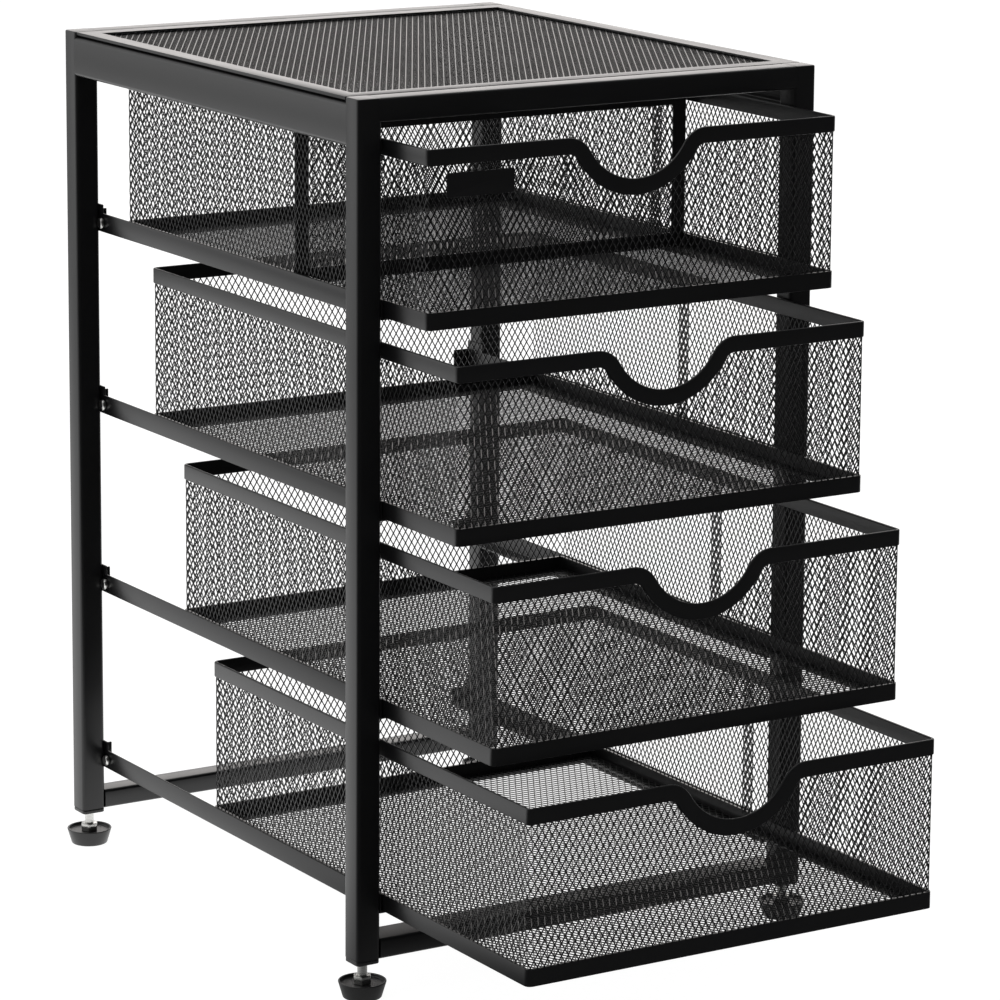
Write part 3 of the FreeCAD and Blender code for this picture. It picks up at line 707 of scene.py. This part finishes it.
# %% The four drawers
band = make_band("drawer_1_band", 1)
foot_band = make_foot_band("drawer_1_foot_band", 1)
walls = make_walls("drawer_1_walls", 1)
floor_mesh = make_floor("drawer_1_floor", 1)
WALL_NODES = ("front_mesh", "back_mesh", "left_mesh", "right_mesh")
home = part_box("drawer_1_top_rim")[0]
for level in range(1, LEVELS + 1):
    body = "drawer_%d" % level
    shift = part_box(body + "_top_rim")[0] - home
    copies = [band, foot_band, walls, floor_mesh]
    if level > 1:
        copies = [twin(piece, piece.name.replace("drawer_1", body), shift) for piece in copies]
    settle(copies[0], "black_steel", body, body + "_top_rim")
    settle(copies[1], "black_steel", body, body + "_bottom_rim")
    settle(copies[2], "steel_mesh", body, *(body + "_" + word for word in WALL_NODES))
    settle(copies[3], "steel_mesh", body, body + "_floor_mesh")
print("a drawer's walls have", len(walls.data.polygons), "faces")

# %% [markdown]
# ## Divider
# The top drawer is divided by a framed piece of mesh. Insetting one face of a thin block makes the frame's
# opening, and the mesh sits in the middle of its thickness.

# %% Divider
EDGING, EDGING_EDGE = 7.4 * MM, 0.5 * MM


def make_divider():
    low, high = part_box("drawer_1_divider_edging")
    edging = block("divider_edging", low, high)
    edit()
    pick("FACE", faces_to((0, 1, 0), (0, -1, 0)))
    bpy.ops.mesh.inset(thickness=EDGING)
    bpy.ops.mesh.bridge_edge_loops()
    leave()
    round_edges(edging, EDGING_EDGE, 3)
    settle(edging, "black_steel", "drawer_1", "drawer_1_divider_edging")
    low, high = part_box("drawer_1_divider_mesh")
    mesh = diamond_sheet("divider_net", high.x - low.x + EDGING / 2, high.z - low.z + EDGING / 2, WALL_SLANT)
    give_thickness(mesh)
    mesh.data.transform(Matrix.Translation((low + high) / 2) @ Matrix.Rotation(math.pi / 2, 4, "X"))
    return settle(mesh, "steel_mesh", "drawer_1", "drawer_1_divider_mesh")


make_divider()

# %% [markdown]
# ## Feet
# A foot is a plastic pad, wider at the top, with a levelling stud through its middle. The pad is a cylinder
# whose lower ring is drawn in, dished by insetting and pushing down its top. The stud's thread is a real
# helix: a small notch carried round and up by the Screw modifier, over a plain core.

# %% Feet
PAD_FOOT_RADIUS, PAD_BRIM, PAD_DISH, PAD_STEP, PAD_EDGE = 9.25 * MM, 1.2 * MM, 1.4 * MM, 2.5 * MM, 0.45 * MM
HEX_RADIUS, HEX_HEIGHT, HEX_EDGE = 4.62 * MM, 4.0 * MM, 0.35 * MM
STUD_RADIUS, THREAD_PITCH, THREAD_DEPTH = 2.5 * MM, 0.8 * MM, 0.35 * MM
NOTCH_RADIUS = THREAD_DEPTH * 1.2


def make_pad(corner):
    low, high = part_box("foot_pad_" + corner)
    center = (low + high) / 2
    radius = (high.x - low.x) / 2
    bpy.ops.object.select_all(action="DESELECT")
    bpy.ops.mesh.primitive_cylinder_add(vertices=64, radius=radius, depth=high.z - low.z, location=center)
    pad = begin("pad_" + corner)
    edit()
    pick("VERT", lambda vert: vert.co.z < center.z)
    share = PAD_FOOT_RADIUS / radius
    bpy.ops.transform.resize(value=(share, share, 1), center_override=center)
    pick("FACE", faces_to((0, 0, 1)))
    bpy.ops.mesh.inset(thickness=PAD_BRIM)
    bpy.ops.mesh.extrude_region_move(TRANSFORM_OT_translate={"value": (0, 0, -PAD_DISH)})
    bpy.ops.mesh.inset(thickness=PAD_STEP)
    leave()
    round_edges(pad, PAD_EDGE, 3, 30)
    return settle(pad, "black_plastic", "foot_" + corner, "foot_pad_" + corner)


def make_stud(corner):
    low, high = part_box("foot_stud_" + corner)
    center = (low + high) / 2
    core_radius = STUD_RADIUS - THREAD_DEPTH
    pad_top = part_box("foot_pad_" + corner)[1].z - PAD_DISH
    bpy.ops.object.select_all(action="DESELECT")
    bpy.ops.mesh.primitive_cylinder_add(vertices=32, radius=core_radius, depth=high.z - pad_top,
                                        location=(center.x, center.y, (high.z + pad_top) / 2))
    core = begin("stud_" + corner)
    bpy.ops.object.select_all(action="DESELECT")
    bpy.ops.mesh.primitive_cylinder_add(vertices=6, radius=HEX_RADIUS, depth=HEX_HEIGHT,
                                        rotation=(0, 0, math.pi / 6),
                                        location=(center.x, center.y, pad_top + HEX_HEIGHT / 2))
    collar = begin("collar_" + corner)
    round_edges(collar, HEX_EDGE, 3)
    bpy.ops.object.select_all(action="DESELECT")
    bpy.ops.mesh.primitive_circle_add(vertices=3, radius=NOTCH_RADIUS, fill_type="NGON",
                                      rotation=(math.pi / 2, 0, 0))
    thread = begin("thread_" + corner)
    edit()
    bpy.ops.mesh.select_all(action="SELECT")
    bpy.ops.mesh.delete(type="ONLY_FACE")
    leave()
    thread.data.transform(Matrix.Rotation(-math.pi / 2, 4, "Y"))
    thread.data.transform(Matrix.Translation((core_radius, 0, 0)))
    turns = int((high.z - pad_top - HEX_HEIGHT) / THREAD_PITCH) - 1
    modify(thread, "SCREW", angle=2 * math.pi, screw_offset=THREAD_PITCH, iterations=turns, steps=24,
           render_steps=24, axis="Z", use_merge_vertices=True)
    thread.data.transform(Matrix.Translation((center.x, center.y, pad_top + HEX_HEIGHT + THREAD_PITCH / 2)))
    bpy.ops.object.select_all(action="DESELECT")
    for part in (collar, thread, core):
        part.select_set(True)
    bpy.context.view_layer.objects.active = core
    bpy.ops.object.join()
    shade_smooth(below=30)
    return settle(core, "zinc_steel", "foot_" + corner, "foot_stud_" + corner)


for corner in CORNERS:
    make_pad(corner)
    make_stud(corner)

# %% [markdown]
# ## Plugs
# Each post ends in a plastic plug, of which a thin flange shows under the tube.

# %% Plugs
PLUG_FLANGE, PLUG_INSET, PLUG_EDGE = 2.0 * MM, 0.15 * MM, 0.45 * MM
for corner in CORNERS:
    low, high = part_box("post_" + corner)
    plug = block("plug_" + corner, (low.x + PLUG_INSET, low.y + PLUG_INSET, low.z - PLUG_FLANGE),
                 (high.x - PLUG_INSET, high.y - PLUG_INSET, low.z))
    edit()
    pick("EDGE", edges_along(UPRIGHT))
    bpy.ops.mesh.bevel(offset=POST_EDGE, segments=6, affect="EDGES")
    leave()
    round_edges(plug, PLUG_EDGE, 3)
    settle(plug, "black_plastic", "frame", *(("post_end_plugs",) if corner == "front_left" else ()))

# %% [markdown]
# ## Screws
# A pan-head screw holds each runner near its back end. A short cylinder with a well-rounded rim is its
# head.

# %% Screws
SCREW_RADIUS, SCREW_HEAD, SCREW_EDGE, SCREW_BACK = 2.75 * MM, 2.2 * MM, 0.9 * MM, 3.2 * MM


def make_screw(level, side):
    low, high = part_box("runner_%d_%s" % (level, side))
    hand = -1 if side == "left" else 1
    face = low.x if side == "left" else high.x
    place = (face + hand * SCREW_HEAD / 2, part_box("post_back_left")[0].y - SCREW_BACK,
             (low.z + high.z - LUG_RISE) / 2)
    bpy.ops.object.select_all(action="DESELECT")
    bpy.ops.mesh.primitive_cylinder_add(vertices=32, radius=SCREW_RADIUS, depth=SCREW_HEAD, location=place,
                                        rotation=(0, math.pi / 2, 0))
    screw = begin("screw_%d_%s" % (level, side))
    round_edges(screw, SCREW_EDGE, 4)
    return settle(screw, "zinc_steel", "frame")


for level in range(1, LEVELS + 1):
    for side in ("left", "right"):
        make_screw(level, side)

# %% [markdown]
# ## Front plate
# A small bare plate is fixed to the mesh of the top drawer, near its left end.

# %% Front plate
PLATE_WIDTH, PLATE_HEIGHT, PLATE_THICKNESS = 36.0 * MM, 11.3 * MM, 0.8 * MM
PLATE_FROM_LEFT, PLATE_BELOW_RIM = 10.0 * MM, 11.4 * MM
PLATE_CORNER, PLATE_EDGE = 0.8 * MM, 0.2 * MM
rim_low, rim_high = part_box("drawer_1_top_rim")
left, top = rim_low.x + PLATE_FROM_LEFT, rim_high.z - PLATE_BELOW_RIM
plate = block("front_plate", (left, rim_low.y, top - PLATE_HEIGHT),
              (left + PLATE_WIDTH, rim_low.y + PLATE_THICKNESS, top))
edit()
pick("EDGE", edges_along((0, 1, 0)))
bpy.ops.mesh.bevel(offset=PLATE_CORNER, segments=4, affect="EDGES")
leave()
round_edges(plate, PLATE_EDGE, 2)
settle(plate, "black_steel", "drawer_1")

# %% [markdown]
# ## Studio
# The object stands on white paper in front of a white wall. In mirrors the world is dark at the front, and
# the
# paper glows with a painted reflection: dark at the front, light at the back and lighter still in a painted
# pool of light near the object. So a face that mirrors what is behind the object turns grey, a flat top seen
# at a low angle nearly white, and the front stays black. The paper and the world are full white where the
# camera sees them, and the paper keeps a part of its own shadow.

# %% Floor
FLOOR_SIDE = 40.0
SHADOW_SHARE = 0.2
PAPER_WHITE = 1.2  # makes up for what the lit share lacks, so that the camera sees full white
FRONT_MIRRORED = 0.04  # the level at the front of the paper's painted reflection, and of the world, in mirrors
PAINTED_REFLECTION_FADE = (-0.2, 0.15)  # where, from front to back in metres, the paper's painted reflection turns light
PAINTED_POOL_REACH, PAINTED_POOL_LEVELS = (0.9, 3.0), (1.3, 0.5)  # a painted pool of light: the paper's painted reflection is lighter near the object
bpy.ops.object.select_all(action="DESELECT")
bpy.ops.mesh.primitive_plane_add(size=FLOOR_SIDE)
floor = begin("studio_floor")
paper = bpy.data.materials.new("white_paper")
paper.use_nodes = True
tree = paper.node_tree
surface = tree.nodes["Principled BSDF"]
surface.inputs["Base Color"].default_value = (0.93, 0.93, 0.93, 1)
surface.inputs["Roughness"].default_value = 0.9
surface.inputs["Specular IOR Level"].default_value = 0.1
paths = tree.nodes.new("ShaderNodeLightPath")


def math_node(tree, operation, *values):
    """A Math node whose inputs are numbers, or (node, output) pairs to link."""
    node = tree.nodes.new("ShaderNodeMath")
    node.operation = operation
    for number, value in enumerate(values):
        if isinstance(value, tuple):
            link(tree, *value, node, number)
        else:
            node.inputs[number].default_value = value
    return node


def smooth_ramp(tree, source, output, start, end, first, last):
    """A value that goes smoothly from first to last as the source goes from start to end."""
    ramp = tree.nodes.new("ShaderNodeMapRange")
    ramp.interpolation_type = "SMOOTHSTEP"
    for label, value in (("From Min", start), ("From Max", end), ("To Min", first), ("To Max", last)):
        ramp.inputs[label].default_value = value
    link(tree, source, output, ramp, "Value")
    return ramp


def fade(tree, place, output, start, end):
    """A value that rises to 1 as Y goes from start, at the darkened front, to end: the paper's painted
    reflection, or the world's light in mirrors.
    """
    parts = tree.nodes.new("ShaderNodeSeparateXYZ")
    link(tree, place, output, parts, 0)
    return smooth_ramp(tree, parts, "Y", start, end, FRONT_MIRRORED, 1.0)


place = tree.nodes.new("ShaderNodeTexCoord")
# The paper's glow in glossy rays is a painted reflection: dark at the front, and brighter in a painted pool
# of light near the object.
painted_reflection_fade = fade(tree, place, "Object", *PAINTED_REFLECTION_FADE)
distance = tree.nodes.new("ShaderNodeVectorMath")
distance.operation = "LENGTH"
link(tree, place, "Object", distance, 0)
painted_pool = smooth_ramp(tree, distance, "Value", *PAINTED_POOL_REACH, *PAINTED_POOL_LEVELS)
shown = math_node(tree, "MULTIPLY", (painted_reflection_fade, "Result"), (painted_pool, "Result"))
mirrored = math_node(tree, "MULTIPLY", (shown, 0), (paths, "Is Glossy Ray"))
white = math_node(tree, "MULTIPLY", (paths, "Is Camera Ray"), PAPER_WHITE)
glow_level = math_node(tree, "ADD", (mirrored, 0), (white, 0))
glow = tree.nodes.new("ShaderNodeEmission")
link(tree, glow_level, 0, glow, "Strength")
seen = math_node(tree, "MULTIPLY", (paths, "Is Camera Ray"), 1 - SHADOW_SHARE)
share = math_node(tree, "ADD", (seen, 0), (paths, "Is Glossy Ray"))
blend = tree.nodes.new("ShaderNodeMixShader")
link(tree, share, 0, blend, "Fac")
tree.links.new(surface.outputs[0], blend.inputs[1])
tree.links.new(glow.outputs[0], blend.inputs[2])
tree.links.new(blend.outputs[0], tree.nodes["Material Output"].inputs["Surface"])
floor.data.materials.append(paper)

# %% World and lamps
WORLD_LEVEL, WALL_MIRRORED = 0.6, 0.65
WALL_FADE = (-0.3, 0.2)  # where the mirrored wall turns light, by the direction's Y
LAMPS_FACE = Vector((0, 0, 0.2))  # about the middle of the object
WARM = (1.0, 0.94, 0.91)
world = bpy.data.worlds.new("studio")
bpy.context.scene.world = world
world.use_nodes = True
tree = world.node_tree
wall = tree.nodes["Background"]
wall.inputs["Color"].default_value = (1, 1, 1, 1)
paths = tree.nodes.new("ShaderNodeLightPath")
place = tree.nodes.new("ShaderNodeTexCoord")
wall_fade = fade(tree, place, "Generated", *WALL_FADE)
shown = math_node(tree, "MULTIPLY", (wall_fade, "Result"), WALL_MIRRORED)
mirrored = math_node(tree, "MULTIPLY", (shown, 0), (paths, "Is Glossy Ray"))
matt = math_node(tree, "SUBTRACT", 1.0, (paths, "Is Glossy Ray"))
matt_light = math_node(tree, "MULTIPLY", (matt, 0), WORLD_LEVEL)
both = math_node(tree, "ADD", (mirrored, 0), (matt_light, 0))
direct = math_node(tree, "MAXIMUM", (paths, "Is Camera Ray"), (paths, "Is Transmission Ray"))
level_node = math_node(tree, "MAXIMUM", (both, 0), (direct, 0))
link(tree, level_node, 0, wall, "Strength")


def lamp(name, place, size, power, color=(1, 1, 1)):
    """A square soft lamp that faces the middle of the object."""
    data = bpy.data.lights.new(name, "AREA")
    data.color = color
    data.size, data.energy = size, power
    light = bpy.data.objects.new(name, data)
    bpy.context.scene.collection.objects.link(light)
    light.location = place
    light.rotation_euler = (LAMPS_FACE - Vector(place)).to_track_quat("-Z", "Y").to_euler()
    return light


lamp("overhead", (-0.6, 0.3, 2.4), 2.2, 12)
lamp("back_left", (-1.7, 1.7, 0.8), 1.4, 5)
lamp("back_right", (1.1, 1.75, 0.9), 1.1, 4.7, WARM)
bpy.context.scene.view_settings.view_transform = "Standard"
